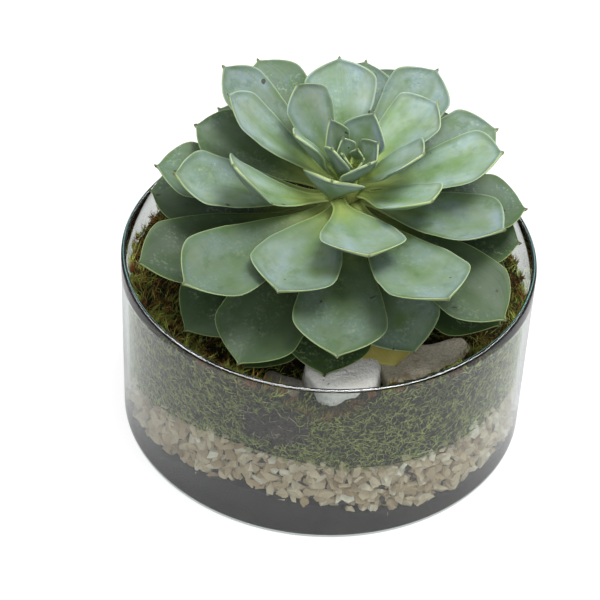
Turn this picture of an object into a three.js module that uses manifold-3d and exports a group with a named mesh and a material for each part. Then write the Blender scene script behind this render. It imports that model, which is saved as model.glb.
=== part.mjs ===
// An open glass terrarium: a low round glass dish with dark grit, cream gravel, potting soil and moss in
// layers, three pale pebbles, and one large echeveria whose leaves spread over the rim.
//
// Millimetres, +Z up. The origin is the centre of the dish's underside, and the front is -Y.
import * as THREE from "three";
import { mergeVertices } from "three/addons/utils/BufferGeometryUtils.js";
import Module from "manifold-3d";

const wasm = await Module();
wasm.setup();

// Driving dimensions
const DISH_RADIUS = 100;
const DISH_HEIGHT = 95;
const WALL = 2.5;
const GLASS_FLOOR = 3;
const CLEARANCE = 0.3;
const FILL_RADIUS = DISH_RADIUS - WALL - CLEARANCE;
const CHIP_SIZE = 12;
const SOIL_RADIUS = 86;
const SOIL_LEVEL = 62;
const MOSS_LEVEL = 71.5;
const TUFT_HEIGHT = 3.5;
const STEM_RADIUS = 9.5;
const STEM_TOP_RADIUS = 3.5;
const STEM_BULGE = 3.5;
const CROWN = new THREE.Vector3(4, 10, 115);
const CROWN_TILT = THREE.MathUtils.degToRad(18);
const CROWN_HEIGHT = 33;
const CROWN_LEAN = 5.5;

const TAU = 2 * Math.PI;
const { clamp, degToRad, lerp, smoothstep } = THREE.MathUtils;

// A repeatable number from 0 to 1 for each pair of whole numbers
function chance(i, j = 0) {
  const wave = Math.sin(i * 127.1 + j * 311.7 + 19.3) * 43758.5453;
  return wave - Math.floor(wave);
}

// Solids and their geometries
function solidOf(geometry) {
  const bare = geometry.clone();
  bare.deleteAttribute("normal");
  bare.deleteAttribute("uv");
  const merged = mergeVertices(bare, 1e-4);
  const corners = merged.index.array;
  const whole = [];
  for (let i = 0; i < corners.length; i += 3) {
    const [a, b, c] = corners.slice(i, i + 3);
    if (a !== b && b !== c && c !== a) whole.push(a, b, c);
  }
  return new wasm.Manifold(
    new wasm.Mesh({
      numProp: 3,
      vertProperties: merged.attributes.position.array,
      triVerts: new Uint32Array(whole),
    }),
  );
}

function geometryOf(solid) {
  const mesh = solid.getMesh();
  const geometry = new THREE.BufferGeometry();
  geometry.setAttribute("position", new THREE.BufferAttribute(mesh.vertProperties, 3));
  geometry.setIndex(new THREE.BufferAttribute(mesh.triVerts, 1));
  return geometry;
}

// The largest body of a solid, so that no loose scrap is left by a cut
function mainBody(solid) {
  return solid.decompose().reduce((best, body) => (body.volume() > best.volume() ? body : best));
}

function skin(points, faces) {
  const geometry = new THREE.BufferGeometry();
  geometry.setAttribute(
    "position",
    new THREE.Float32BufferAttribute(
      points.flatMap((p) => [p.x, p.y, p.z]),
      3,
    ),
  );
  geometry.setIndex(faces);
  return geometry;
}

// A turned body with its axis along +Z, from a profile of [radius, height] pairs that goes up the outside
function turned(profile, sides) {
  return new THREE.LatheGeometry(
    profile.map(([r, z]) => new THREE.Vector2(r, z)),
    sides,
  ).rotateX(Math.PI / 2);
}

const group = new THREE.Group();
function place(name, geometry, color, roughness, parent = group) {
  const material = new THREE.MeshStandardMaterial({ color, roughness, metalness: 0 });
  const mesh = new THREE.Mesh(geometry, material);
  mesh.name = name;
  parent.add(mesh);
  return mesh;
}

// The glass dish: one blown wall with a fire-rounded rim and a soft heel
const RIM_STEPS = 6;
const HEEL = 4;
const FLOOR_FILLET = 2;
function dishProfile() {
  const profile = [[0, 0]];
  for (let i = 0; i <= 3; i++) {
    const angle = (i / 3) * (Math.PI / 2);
    profile.push([DISH_RADIUS - HEEL + HEEL * Math.sin(angle), HEEL - HEEL * Math.cos(angle)]);
  }
  const rim = WALL / 2;
  for (let i = 0; i <= RIM_STEPS; i++) {
    const angle = (i / RIM_STEPS) * Math.PI;
    profile.push([DISH_RADIUS - rim + rim * Math.cos(angle), DISH_HEIGHT - rim + rim * Math.sin(angle)]);
  }
  const inner = DISH_RADIUS - WALL;
  profile.push([inner, GLASS_FLOOR + FLOOR_FILLET], [inner - FLOOR_FILLET, GLASS_FLOOR], [0, GLASS_FLOOR]);
  return profile;
}
const DISH_SIDES = 54;
place("glass_dish", turned(dishProfile(), DISH_SIDES), 0xcfe3df, 0.05);

// Layers in the dish. A place is a radius and a bearing in degrees: 0 at the front, 90 at the right.
const wave = (bearing, turns, start = 0) => Math.sin(degToRad(turns * bearing + start));
const mound = (bearing, centre, spread) => {
  const off = ((((bearing - centre + 180) % 360) + 360) % 360) - 180;
  return Math.exp(-((off / spread) ** 2));
};
const LEAST_SAND = 10;
const sandTop = (r, b) => LEAST_SAND + 13.5 * mound(b, -19, 31) + 5 * mound(b, 150, 50);
const gravelTop = (r, b) => 40.5 + 3 * wave(b, 1) - 9 * mound(b, -66, 14);
const soilTop = (r, b) => SOIL_LEVEL + 1.5 * wave(b, 3, 4 * r) - 3 * smoothstep(r, 60, SOIL_RADIUS);
const sideDip = (b) => 7 * mound(b, -108, 30) + 16 * mound(b, 96, 30) + 6 * mound(b, 180, 50);
const mossEdge = (b) => 90.5 - 16.5 * mound(b, 1, 11) - sideDip(b) + 1.5 * wave(b, 5, 40);
const CLIMB_START = 72;
const CLIMB_END = 96;
function mossTop(r, b) {
  const height = lerp(MOSS_LEVEL, mossEdge(b), smoothstep(r, CLIMB_START, CLIMB_END));
  const tuft = TUFT_HEIGHT * (r / CLIMB_END) * (chance(Math.round(r), Math.round(b)) - 0.5);
  return r < CLIMB_END ? height + tuft : height;
}

// A filled layer: rings of points at the given radii under and over it, and a wall of level courses between,
// carved inwards by a formula of the bearing and the height.
function layer({ radii, sides, courses = 1, bottom, top, carve = () => 0 }) {
  const bearings = Array.from({ length: sides }, (_, i) => (360 * i) / sides);
  const points = [];
  const faces = [];
  const at = (r, b, z) => {
    const angle = degToRad(b);
    return points.push(new THREE.Vector3(r * Math.sin(angle), -r * Math.cos(angle), z)) - 1;
  };
  const ring = (r, height) => bearings.map((b) => at(r, b, height(r, b)));
  const sheet = (low, high, over) =>
    low.forEach((_, i) => {
      const j = (i + 1) % sides;
      if (over) faces.push(low[i], high[j], low[j], low[i], high[i], high[j]);
      else faces.push(low[i], low[j], high[j], low[i], high[j], high[i]);
    });
  const outer = radii[radii.length - 1];
  const under = radii.map((r) => ring(r, bottom));
  const over = radii.map((r) => ring(r, top));
  const wall = [under[under.length - 1]];
  for (let c = 1; c < courses; c++) {
    const height = (b) => lerp(bottom(outer, b), top(outer, b), c / courses);
    wall.push(bearings.map((b) => at(outer - carve(b, height(b)), b, height(b))));
  }
  wall.push(over[over.length - 1]);
  const poles = [at(0, 0, bottom(0, 0)), at(0, 0, top(0, 0))];
  bearings.forEach((_, i) => {
    const j = (i + 1) % sides;
    faces.push(poles[0], under[0][j], under[0][i], poles[1], over[0][i], over[0][j]);
  });
  for (let k = 0; k + 1 < radii.length; k++) {
    sheet(under[k], under[k + 1]);
    sheet(over[k], over[k + 1], true);
  }
  for (let c = 0; c < courses; c++) sheet(wall[c], wall[c + 1]);
  return skin(points, faces);
}
const LAYER_SIDES = 76;
const WALL_RADII = [50, FILL_RADIUS - FLOOR_FILLET, FILL_RADIUS];

// Dark grit on the glass floor
const sandBottom = (r) => GLASS_FLOOR + CLEARANCE + Math.max(0, r - FILL_RADIUS + FLOOR_FILLET);
place(
  "sand_layer",
  layer({ radii: WALL_RADII, sides: LAYER_SIDES, bottom: sandBottom, top: sandTop }),
  0x52504f,
  0.95,
);

// Cream gravel: chips shown larger than life, as relief between grooves round jittered chip centres
const GROOVE_DEPTH = 2.2;
const GROOVE_WIDTH = 3;
function groove(b, z) {
  const columns = Math.round((TAU * FILL_RADIUS) / CHIP_SIZE);
  const along = (b / 360) * columns;
  const up = z / CHIP_SIZE;
  const distances = [];
  for (let i = Math.floor(along) - 1; i <= Math.floor(along) + 1; i++) {
    for (let j = Math.floor(up) - 1; j <= Math.floor(up) + 1; j++) {
      const column = (i + columns) % columns;
      const x = i + chance(column, j) - along;
      const y = j + chance(column + columns, j) - up;
      distances.push(CHIP_SIZE * Math.hypot(x, y));
    }
  }
  distances.sort((p, q) => p - q);
  return GROOVE_DEPTH * (1 - clamp((distances[1] - distances[0]) / GROOVE_WIDTH, 0, 1));
}
place(
  "gravel_layer",
  layer({
    radii: WALL_RADII,
    sides: LAYER_SIDES,
    courses: 5,
    bottom: (r, b) => sandTop(r, b) + CLEARANCE,
    top: gravelTop,
    carve: groove,
  }),
  0xcbbfa8,
  0.85,
);

// The crown: the plant's own frame, at the top of its bare stem, with the growing axis along +Z
const crown = new THREE.Group();
crown.position.copy(CROWN);
crown.rotation.x = CROWN_TILT;
crown.updateMatrixWorld(true);
group.add(crown);
const leanAt = (h) => (CROWN_LEAN * Math.max(h, 0)) / CROWN_HEIGHT;
const stemRadius = (h) => lerp(STEM_RADIUS, STEM_TOP_RADIUS, clamp(h / CROWN_HEIGHT, 0, 1));

// The stem, oval with its narrow end to the front, whose top carries the heart of the rosette. It may be
// grown all round to cut its hole.
const HEART_HEIGHT = 26;
const STEM_FOOT = -58;
const STEM_SIDES = 16;
function stemBody(grow = 0) {
  const heights = [STEM_FOOT - grow, 0, HEART_HEIGHT - CLEARANCE + grow];
  const profile = heights.map((h) => [stemRadius(h) + grow, h]);
  const body = turned([[0, heights[0]], ...profile, [0, heights[heights.length - 1]]], STEM_SIDES);
  const places = body.attributes.position;
  for (let i = 0; i < places.count; i++) {
    const [x, y, h] = [places.getX(i), places.getY(i), places.getZ(i)];
    const across = y / (stemRadius(h) + grow);
    places.setXYZ(i, x + leanAt(h), y + STEM_BULGE * (across - 1), h);
  }
  return body;
}
place("stem", stemBody(), 0x7a6a48, 0.85, crown);

// Pebbles: rounded blocks with a few broad dents, half sunk in the moss
const SQUARENESS = 0.55;
const PEBBLE_DETAIL = 3;
const DENT_DEPTH = 0.045;
function pebbleBody([x, y, z], seed, grow = 0) {
  const body = new THREE.IcosahedronGeometry(1, PEBBLE_DETAIL);
  const places = body.attributes.position;
  const p = new THREE.Vector3();
  for (let i = 0; i < places.count; i++) {
    p.fromBufferAttribute(places, i);
    const dents = Math.sin(3 * p.x + seed) * Math.sin(4 * p.y + 2 * seed) + Math.sin(5 * p.z - seed);
    const box = new THREE.Vector3(...p.toArray().map((c) => Math.sign(c) * Math.abs(c) ** SQUARENESS));
    box.multiplyScalar((1 + DENT_DEPTH * dents) / Math.max(1, box.length() ** 0.5));
    places.setXYZ(i, box.x * (x / 2 + grow), box.y * (y / 2 + grow), box.z * (z / 2 + grow));
  }
  return body;
}
const PEBBLES = [
  { name: "stone_front", size: [38, 31, 18], at: [9.5, -72, 73.5], turn: -8, seed: 1, color: 0xc9c5bb },
  { name: "stone_right", size: [48, 29, 18], at: [50.5, -56.5, 69.8], turn: 24, seed: 4, color: 0xbdb6a6 },
  { name: "stone_left", size: [21, 18, 16], at: [-19.5, -79.5, 71], turn: -20, seed: 7, color: 0x8d8b86 },
];
const pebbleSolids = [];
for (const { name, size, at, turn, seed, color } of PEBBLES) {
  const stone = place(name, pebbleBody(size, seed), color, 0.8);
  stone.position.set(...at);
  stone.rotation.z = degToRad(turn);
  stone.updateMatrixWorld(true);
  pebbleSolids.push(solidOf(pebbleBody(size, seed, CLEARANCE).applyMatrix4(stone.matrixWorld)));
}

// Potting soil: a low mound that reaches the glass in one bare patch low at the front left
const PATCH = { bearing: -16, radius: 91, height: 61, size: [18, 15, 9] };
function soilSolid(grow) {
  const radii = [WALL_RADII[0], SOIL_RADIUS + grow];
  const mass = layer({
    radii,
    sides: LAYER_SIDES,
    bottom: (r, b) => gravelTop(r, b) + CLEARANCE - grow,
    top: (r, b) => soilTop(r, b) + grow,
  });
  const patch = new THREE.IcosahedronGeometry(1, PEBBLE_DETAIL)
    .scale(...PATCH.size.map((half) => half + grow))
    .rotateZ(degToRad(PATCH.bearing))
    .translate(
      PATCH.radius * Math.sin(degToRad(PATCH.bearing)),
      -PATCH.radius * Math.cos(degToRad(PATCH.bearing)),
      PATCH.height,
    );
  const room = new THREE.CylinderGeometry(FILL_RADIUS, FILL_RADIUS, 2 * DISH_HEIGHT, LAYER_SIDES);
  room.rotateX(Math.PI / 2);
  const bulge = solidOf(patch).intersect(solidOf(room));
  return solidOf(mass).add(bulge);
}
const stemHole = solidOf(stemBody(CLEARANCE).applyMatrix4(crown.matrixWorld));
function sunk(ground) {
  const holes = [stemHole, ...pebbleSolids];
  return mainBody(holes.reduce((rest, hole) => rest.subtract(hole), ground));
}
place("soil", geometryOf(sunk(soilSolid(0))), 0x3a2c22, 0.95);

// Moss: it lines the glass above the gravel and covers the soil, with tufts larger than life
const MOSS_RADII = [16, 32, 46, 59, 71, 82, 91, FILL_RADIUS];
const MOSS_SIDES = 48;
const MOSS_RELIEF = 1.2;
const mossMat = layer({
  radii: MOSS_RADII,
  sides: MOSS_SIDES,
  courses: 3,
  bottom: (r, b) => gravelTop(r, b) + 2 * CLEARANCE,
  top: mossTop,
  carve: (b, z) => MOSS_RELIEF * chance(Math.round(b), Math.round(z)),
});
place("moss", geometryOf(sunk(solidOf(mossMat).subtract(soilSolid(CLEARANCE)))), 0x5f6b33, 1);

// Leaves
const GROWN_FORM = { widest: 0.8, bluntness: 1.9 };
const YOUNG_FORM = { widest: 0.62, bluntness: 1.3 };
const STALK_SHARE = 0.18;
const SWELL_START = 0.08;
const SWELL_POWER = 1.4;
const EDGE_THICKNESS = 0.9;
const LEAF_THICKNESS = 3.2;
const ROOT_FLESH = 0.8;
const FULL_WIDTH = 36;
const CUP = 0.2;
const TIP_HALF_WIDTH = 0.5;
const LEAF_STATIONS = [0, 0.18, 0.4, 0.6, 0.8, 0.9, 0.965, 1];
const LEAF_ACROSS = [-1, -0.5, 0, 0.5, 1];

// A leaf's half width as a share of its widest, at a share s of its length: a narrow stalk that swells to the
// widest place, then shoulders down to the point, which are round on a grown leaf and slender on a young one
function outline(s, { widest, bluntness }) {
  const rise = clamp((s - SWELL_START) / (widest - SWELL_START), 0, 1);
  const swell = Math.sin((Math.PI / 2) * rise) ** SWELL_POWER;
  const shoulder = clamp((s - widest) / (1 - widest), 0, 1);
  return s < widest ? lerp(STALK_SHARE, 1, swell) : 1 - shoulder ** bluntness;
}

// A closed skin over rings of equal count, first half the underside and second half the upper face, which are
// split into triangles alike
function loft(rings) {
  const count = rings[0].length;
  const faces = [];
  for (let r = 0; r + 1 < rings.length; r++) {
    for (let i = 0; i < count; i++) {
      const a = r * count + i;
      const b = r * count + ((i + 1) % count);
      if (i < count / 2) faces.push(a, a + count, b, b, a + count, b + count);
      else faces.push(a, b + count, b, a, a + count, b + count);
    }
  }
  const last = (rings.length - 1) * count;
  for (let i = 0; i + 1 < count / 2; i++) {
    const [p, q, s, t] = [i, i + 1, count - 2 - i, count - 1 - i];
    faces.push(p, q, s, p, s, t, last + p, last + s, last + q, last + p, last + t, last + s);
  }
  return skin(rings.flat(), faces);
}

// The thickness of a leaf's flesh, which narrow leaves have less of
const fleshOf = (width) => LEAF_THICKNESS * clamp(width / FULL_WIDTH, 0.6, 1);

// One fleshy leaf that grows along +X from the origin, upper face to +Z. Its midrib is an arc about the pitch
// that turns by the bend, and its blade is troughed by the cup and turned about the midrib by the roll.
function leafBody({ pitch, length, width, bend, roll, form }) {
  const turn = degToRad(bend) || 1e-5;
  const start = degToRad(pitch) - turn / 2;
  const rings = LEAF_STATIONS.map((s) => {
    const angle = start + turn * s;
    const midrib = new THREE.Vector3(
      (length * (Math.sin(angle) - Math.sin(start))) / turn,
      0,
      (length * (Math.cos(start) - Math.cos(angle))) / turn,
    );
    const half = Math.max((outline(s, form) * width) / 2, TIP_HALF_WIDTH);
    const swell = ROOT_FLESH + 0.8 * s - 1.1 * s * s;
    const flesh = Math.max(fleshOf(width) * swell, EDGE_THICKNESS);
    const rolled = degToRad(roll) * clamp(1.5 * s, 0, 1);
    const normal = new THREE.Vector3(-Math.sin(angle), 0, Math.cos(angle));
    const side = new THREE.Vector3(0, Math.cos(rolled), 0).addScaledVector(normal, Math.sin(rolled));
    const up = new THREE.Vector3(0, -Math.sin(rolled), 0).addScaledVector(normal, Math.cos(rolled));
    const point = (v, depth) =>
      midrib
        .clone()
        .addScaledVector(side, v * half)
        .addScaledVector(up, CUP * half * v * v * clamp(3 * s, 0, 1) - depth);
    const under = LEAF_ACROSS.map((v) => point(-v, lerp(flesh, EDGE_THICKNESS, v * v)));
    return [...under, ...LEAF_ACROSS.map((v) => point(v, 0))];
  });
  return loft(rings);
}

// Each leaf by its age, counted out from the heart: [age, azimuth, pitch, length, width, what sets it apart].
// Azimuth 270 is the front. The youngest stand up and curl in, and the oldest lie level or hang.
const LEAVES = [
  [1, 70, 84, 9, 7],
  [2, 215, 78, 15, 10, { foot: [3, -2] }],
  [3, 335, 72, 13, 9, { foot: [5.5, -2.5] }],
  [4, 130, 72, 17, 12],
  [5, 205, 78, 27, 18, { roll: 20, foot: [0, -5] }],
  [6, 25, 62, 20, 17, { foot: [7, 0] }],
  [7, 335, 66, 28, 22, { roll: -30, lift: 0.5, foot: [1.5, -8.5] }],
  [8, 137, 66, 30, 15],
  [9, 62, 60, 30, 24, { bend: 4, roll: -8 }],
  [10, 262, 82, 18, 30, { bend: -10, roll: -6, foot: [-4, -14.5] }],
  [11, 356, 44, 40, 30, { bend: 4, roll: -26, lift: 0.3 }],
  [12, 175, 53, 38, 24, { roll: 42, lift: 0.3 }],
  [13, 290, 24, 50, 40, { bend: 27, roll: -12, lift: 5.4, foot: [-1.5, -17.6] }],
  [14, 41, 21, 49, 38, { bend: 12, roll: -24 }],
  [15, 194, 40, 62, 29, { bend: 77, roll: 19, foot: [-6, -12] }],
  [16, 327, 36, 48, 32, { bend: 22, roll: -19, lift: 0.5 }],
  [17, 132, 45, 47, 25, { bend: 15, roll: 4, lift: -0.2 }],
  [18, 247, 14, 70, 41, { bend: 16, roll: 2, lift: 0.6 }],
  [19, 4, 23, 69, 36, { bend: 17, roll: -14, lift: -0.3 }],
  [20, 162, 37, 68, 23, { bend: 30, roll: 8 }],
  [21, 302, 21, 88, 41, { bend: 34, roll: -5 }],
  [22, 98, 34, 53, 34, { bend: 14, roll: -6 }],
  [23, 225, 15, 96, 38, { bend: 22, roll: -4 }],
  [24, 338, 16, 74, 38, { bend: 10, roll: -16, lift: -0.6 }],
  [25, 144, 23, 75, 26, { bend: 23 }],
  [26, 270, 4, 83, 43, { bend: 11, roll: -5 }],
  [27, 53, 22, 64, 33, { bend: 10, lift: 0.5 }],
  [28, 188, 19, 77, 31, { bend: 27, roll: 2, lift: -0.3 }],
  [29, 320, 1, 91, 40, { bend: -10, roll: -8, lift: -0.3 }],
  [30, 84, 17, 58, 30, { lift: -0.3 }],
  [31, 243, -6, 90, 43, { bend: -6, roll: 5 }],
  [32, 25, 10, 71, 34],
  [33, 160, 10, 70, 32],
  [34, 295, -3, 77, 38, { bend: -8, roll: 10, lift: -0.5 }],
  [35, 70, 12, 62, 32],
  [36, 206, 4, 95, 37, { bend: 24 }],
  [37, 3, -5, 79, 41, { bend: 3, roll: -15, lift: 0.3 }],
  [38, 123, 8, 75, 32],
  [41, 176, 9, 81, 38, { bend: 17, roll: 14 }],
  [42, 321, 0, 88, 42, { bend: 2, roll: 10, lift: 0.4 }],
  [43, 88, 4, 66, 34],
  [44, 224, -6, 87, 38],
  [45, 355, -9, 78, 36, { lift: -0.2 }],
  [46, 140, -2, 72, 34, { lift: 0.5 }],
  [47, 268, -5, 76, 40],
  [48, 46, -2, 68, 34],
  [49, 176, -3, 82, 38],
  [50, 339, -14, 80, 36, { lift: -0.3 }],
  [51, 106, -4, 68, 34],
  [52, 243, -9, 80, 40],
  [55, 292, -9, 70, 38],
];
const OLDEST_IN_HEART = 12;
const OLDEST_SLENDER = 9;
const OLDEST_CURLED = 23;
const LEAF_SPACING = 0.62;
const ROOT_SINK = 1.5;

// The place of a leaf's root: its own foot by the heart's pad, or just off the stem, and further out where
// the leaf hangs and its underside faces in
function leafPlace({ azimuth, pitch, width, bend, foot }, h, off) {
  if (foot) return new THREE.Vector3(...foot, h);
  const flesh = fleshOf(width);
  const dip = Math.max(0, -Math.sin(degToRad(pitch - bend / 2))) * flesh * ROOT_FLESH;
  const r = stemRadius(h - flesh) + off + dip;
  const angle = degToRad(azimuth);
  const forward = STEM_BULGE * (Math.sin(angle) - 1);
  return new THREE.Vector3(leanAt(h - flesh) + r * Math.cos(angle), r * Math.sin(angle) + forward, h);
}

// The heart: a small bud on a fleshy pad, and the youngest leaves, grown together
const PAD = { size: [8, 10, 2.2], at: [1, -6.5, 28.2] };
const BUD_PROFILE = [
  [0, 0],
  [4.2, 0],
  [3.4, 3.5],
  [0, 5.5],
];
const bud = turned(BUD_PROFILE, STEM_SIDES).translate(leanAt(HEART_HEIGHT), 0, HEART_HEIGHT);
const pad = new THREE.IcosahedronGeometry(1, 1).scale(...PAD.size).translate(...PAD.at);
let heart = solidOf(bud).add(solidOf(pad));
for (const [age, azimuth, pitch, length, width, { bend, roll = 0, lift = 0, foot } = {}] of LEAVES) {
  const form = age <= OLDEST_SLENDER ? YOUNG_FORM : GROWN_FORM;
  const curl = bend ?? (age <= OLDEST_CURLED ? 10 : 0);
  const shape = { azimuth, pitch, length, width, roll, foot, form, bend: curl };
  const h = CROWN_HEIGHT - LEAF_SPACING * age + lift;
  if (age > OLDEST_IN_HEART) {
    const leaf = place(`leaf_${age}`, leafBody(shape), 0x8fae96, 0.6, crown);
    leaf.position.copy(leafPlace(shape, h, CLEARANCE));
    leaf.rotation.z = degToRad(azimuth);
  } else {
    const body = leafBody(shape).rotateZ(degToRad(azimuth));
    heart = heart.add(solidOf(body.translate(...leafPlace(shape, h, -ROOT_SINK))));
  }
}
heart = heart.subtract(solidOf(stemBody(CLEARANCE)));
place("rosette_heart", geometryOf(mainBody(heart)), 0x9db89a, 0.6, crown);

export default group;
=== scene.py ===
"""Looks of an open glass terrarium: a low glass dish of dark grit, cream gravel, potting soil and moss,
three pebbles, and one large echeveria. Sizes are worked out in millimetres and put down in metres."""

import bpy
import numpy as np
from mathutils import Matrix, Vector


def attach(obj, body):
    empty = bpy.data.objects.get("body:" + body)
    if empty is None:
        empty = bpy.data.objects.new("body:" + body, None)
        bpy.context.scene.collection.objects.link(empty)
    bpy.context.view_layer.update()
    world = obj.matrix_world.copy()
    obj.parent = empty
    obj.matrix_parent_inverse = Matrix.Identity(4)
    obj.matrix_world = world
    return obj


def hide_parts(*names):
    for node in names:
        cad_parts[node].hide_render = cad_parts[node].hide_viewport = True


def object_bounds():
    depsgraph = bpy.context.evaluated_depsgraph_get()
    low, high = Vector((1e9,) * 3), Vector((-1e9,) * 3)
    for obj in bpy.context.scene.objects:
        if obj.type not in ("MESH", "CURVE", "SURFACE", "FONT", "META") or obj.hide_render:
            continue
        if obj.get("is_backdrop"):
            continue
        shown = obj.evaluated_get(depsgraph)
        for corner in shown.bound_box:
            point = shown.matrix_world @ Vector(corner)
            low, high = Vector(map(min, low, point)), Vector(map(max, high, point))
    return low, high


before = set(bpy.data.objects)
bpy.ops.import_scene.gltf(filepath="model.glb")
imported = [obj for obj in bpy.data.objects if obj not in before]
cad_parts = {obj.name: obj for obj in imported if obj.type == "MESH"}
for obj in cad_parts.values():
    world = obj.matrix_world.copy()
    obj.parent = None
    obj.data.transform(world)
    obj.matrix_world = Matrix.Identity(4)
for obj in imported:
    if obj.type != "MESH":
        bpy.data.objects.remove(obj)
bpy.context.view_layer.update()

# The view: the terrarium stands on a white sweep and is looked down on from the front. A soft light hangs
# high over its right side, weaker ones behind, at the left and in front, and a pale room fills in the rest.
CAMERA_AT = Vector((0, -0.78407, 0.73318))
CAMERA_AIM = Vector((0, 0, 0.0474))
CAMERA_TURNS = ((0.72, "Y"), (0.61, "X"), (3.25, "Z"))
LENS = 126
SENSOR = 36
ROOM_FRONT = 0.4
ROOM_BACK = 0.35
ROOM_ABOVE = 0.35
CEILING_GLEAM = 14
FLOOR_HALF = 6
FLOOR_GLOW = 0.4
FLOOR_SEEN_GLOW = 0.8
PALE_FLOOR_FRONT = -0.175
DULL_FLOOR_BACK = -0.255


def looking(at, aim):
    """The turn that points -Z from one place to another, with +Y up."""
    return (at - aim).to_track_quat("Z", "Y").to_matrix()


scene = bpy.context.scene
turn = looking(CAMERA_AT, CAMERA_AIM)
for degrees, axis in CAMERA_TURNS:
    turn = turn @ Matrix.Rotation(np.radians(degrees), 3, axis)
camera = bpy.data.objects.new("camera", bpy.data.cameras.new("camera"))
camera.data.lens = LENS
camera.data.sensor_width = SENSOR
camera.matrix_world = Matrix.Translation(CAMERA_AT) @ turn.to_4x4()
scene.collection.objects.link(camera)
scene.camera = camera
scene.view_settings.view_transform = "Standard"
scene.cycles.use_denoising = True
scene.cycles.max_bounces = 40
scene.cycles.transmission_bounces = 40
scene.cycles.transparent_max_bounces = 24


def soft_light(name, at, size, depth, watts, turned=0):
    """An area light of the given width and depth that faces the plant, turned about that line."""
    lamp = bpy.data.lights.new(name, "AREA")
    lamp.shape = "RECTANGLE"
    lamp.size = size
    lamp.size_y = depth
    lamp.energy = watts
    light = bpy.data.objects.new(name, lamp)
    light.matrix_world = Matrix.Translation(at) @ looking(at, Vector((0, 0, 0.1))).to_4x4()
    light.matrix_world = light.matrix_world @ Matrix.Rotation(np.radians(turned), 4, "Z")
    scene.collection.objects.link(light)


soft_light("key_light", Vector((0.4, -0.15, 1.7)), 0.6, 0.6, 21)
soft_light("back_light", Vector((0.7, 0.7, 1.5)), 0.6, 0.6, 4)
soft_light("tube_light", Vector((-0.2, 0.35, 1.45)), 1.1, 0.1, 5, -60)
soft_light("front_light", Vector((0.1, -1.3, 0.9)), 0.8, 0.8, 5)


def srgb(red, green, blue):
    """A colour given in the 0 to 255 steps of a screen, as linear light."""
    share = np.array([red, green, blue]) / 255
    linear = np.where(share <= 0.04045, share / 12.92, ((share + 0.055) / 1.055) ** 2.4)
    return (*linear.tolist(), 1)


def node(tree, kind, values=(), **inputs):
    """Adds a node. values fill its inputs in order, inputs fill them by name with _ for a space, and a
    socket among them is linked. Names that are settings of the node are set."""
    made = tree.nodes.new(kind)
    named = {}
    for key, value in inputs.items():
        if hasattr(made, key):
            setattr(made, key, value)
        else:
            named[key.replace("_", " ")] = value
    for key, value in [*enumerate(values), *named.items()]:
        if isinstance(value, bpy.types.NodeSocket):
            tree.links.new(value, made.inputs[key])
        elif value is not None:
            made.inputs[key].default_value = value
    return made


def maths(tree, operation, *values):
    return node(tree, "ShaderNodeMath", values, operation=operation).outputs[0]


def times(tree, first, second):
    return maths(tree, "MULTIPLY", first, second)


def plus(tree, first, second):
    return maths(tree, "ADD", first, second)


def blend(tree, share, first, second, blend_type="MIX"):
    """Two colours mixed by a share from 0 to 1."""
    values = (share, None, None, None, None, None, first, second)
    return node(tree, "ShaderNodeMix", values, data_type="RGBA", blend_type=blend_type).outputs[2]


def spread(tree, value, low, high, start=0.0, end=1.0):
    """The value's range from low to high stretched to run from start to end, and held there outside it."""
    return node(tree, "ShaderNodeMapRange", (value, low, high, start, end)).outputs[0]


def new_finish(name):
    """A material with a Principled shader: its node tree, the shader and Object coordinates."""
    material = bpy.data.materials.new(name)
    material.use_nodes = True
    tree = material.node_tree
    return material, tree, tree.nodes["Principled BSDF"], node(tree, "ShaderNodeTexCoord").outputs["Object"]


def set_finish(tree, shader, height=None, depth=0.0, **inputs):
    """Fills the shader's inputs by name. height is a bump, depth metres deep."""
    if height is not None:
        inputs["Normal"] = node(tree, "ShaderNodeBump", Height=height, Distance=depth).outputs[0]
    for key, value in inputs.items():
        socket = shader.inputs[key.replace("_", " ")]
        if isinstance(value, bpy.types.NodeSocket):
            tree.links.new(value, socket)
        else:
            socket.default_value = value


# The room is white to look at, and lights the plant softly from all round, most from above. Its bright
# ceiling shows only as the gleam in the clear glass.
room = bpy.data.worlds.new("room")
scene.world = room
room.use_nodes = True
tree = room.node_tree
facing = node(tree, "ShaderNodeTexCoord").outputs["Generated"]
toward = node(tree, "ShaderNodeSeparateXYZ", [facing]).outputs
level = spread(tree, toward[1], -0.7, 0.7, ROOM_FRONT, ROOM_BACK)
level = plus(tree, level, spread(tree, toward[2], 0.2, 1.0, 0.0, ROOM_ABOVE))
path = node(tree, "ShaderNodeLightPath").outputs
gleam = times(tree, path["Is Singular Ray"], spread(tree, toward[2], 0.62, 0.8, 0.0, CEILING_GLEAM))
level = maths(tree, "MAXIMUM", maths(tree, "MAXIMUM", level, path["Is Camera Ray"]), gleam)
tree.links.new(level, tree.nodes["Background"].inputs["Strength"])
tree.nodes["Background"].inputs["Color"].default_value = (1, 1, 1, 1)

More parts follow.
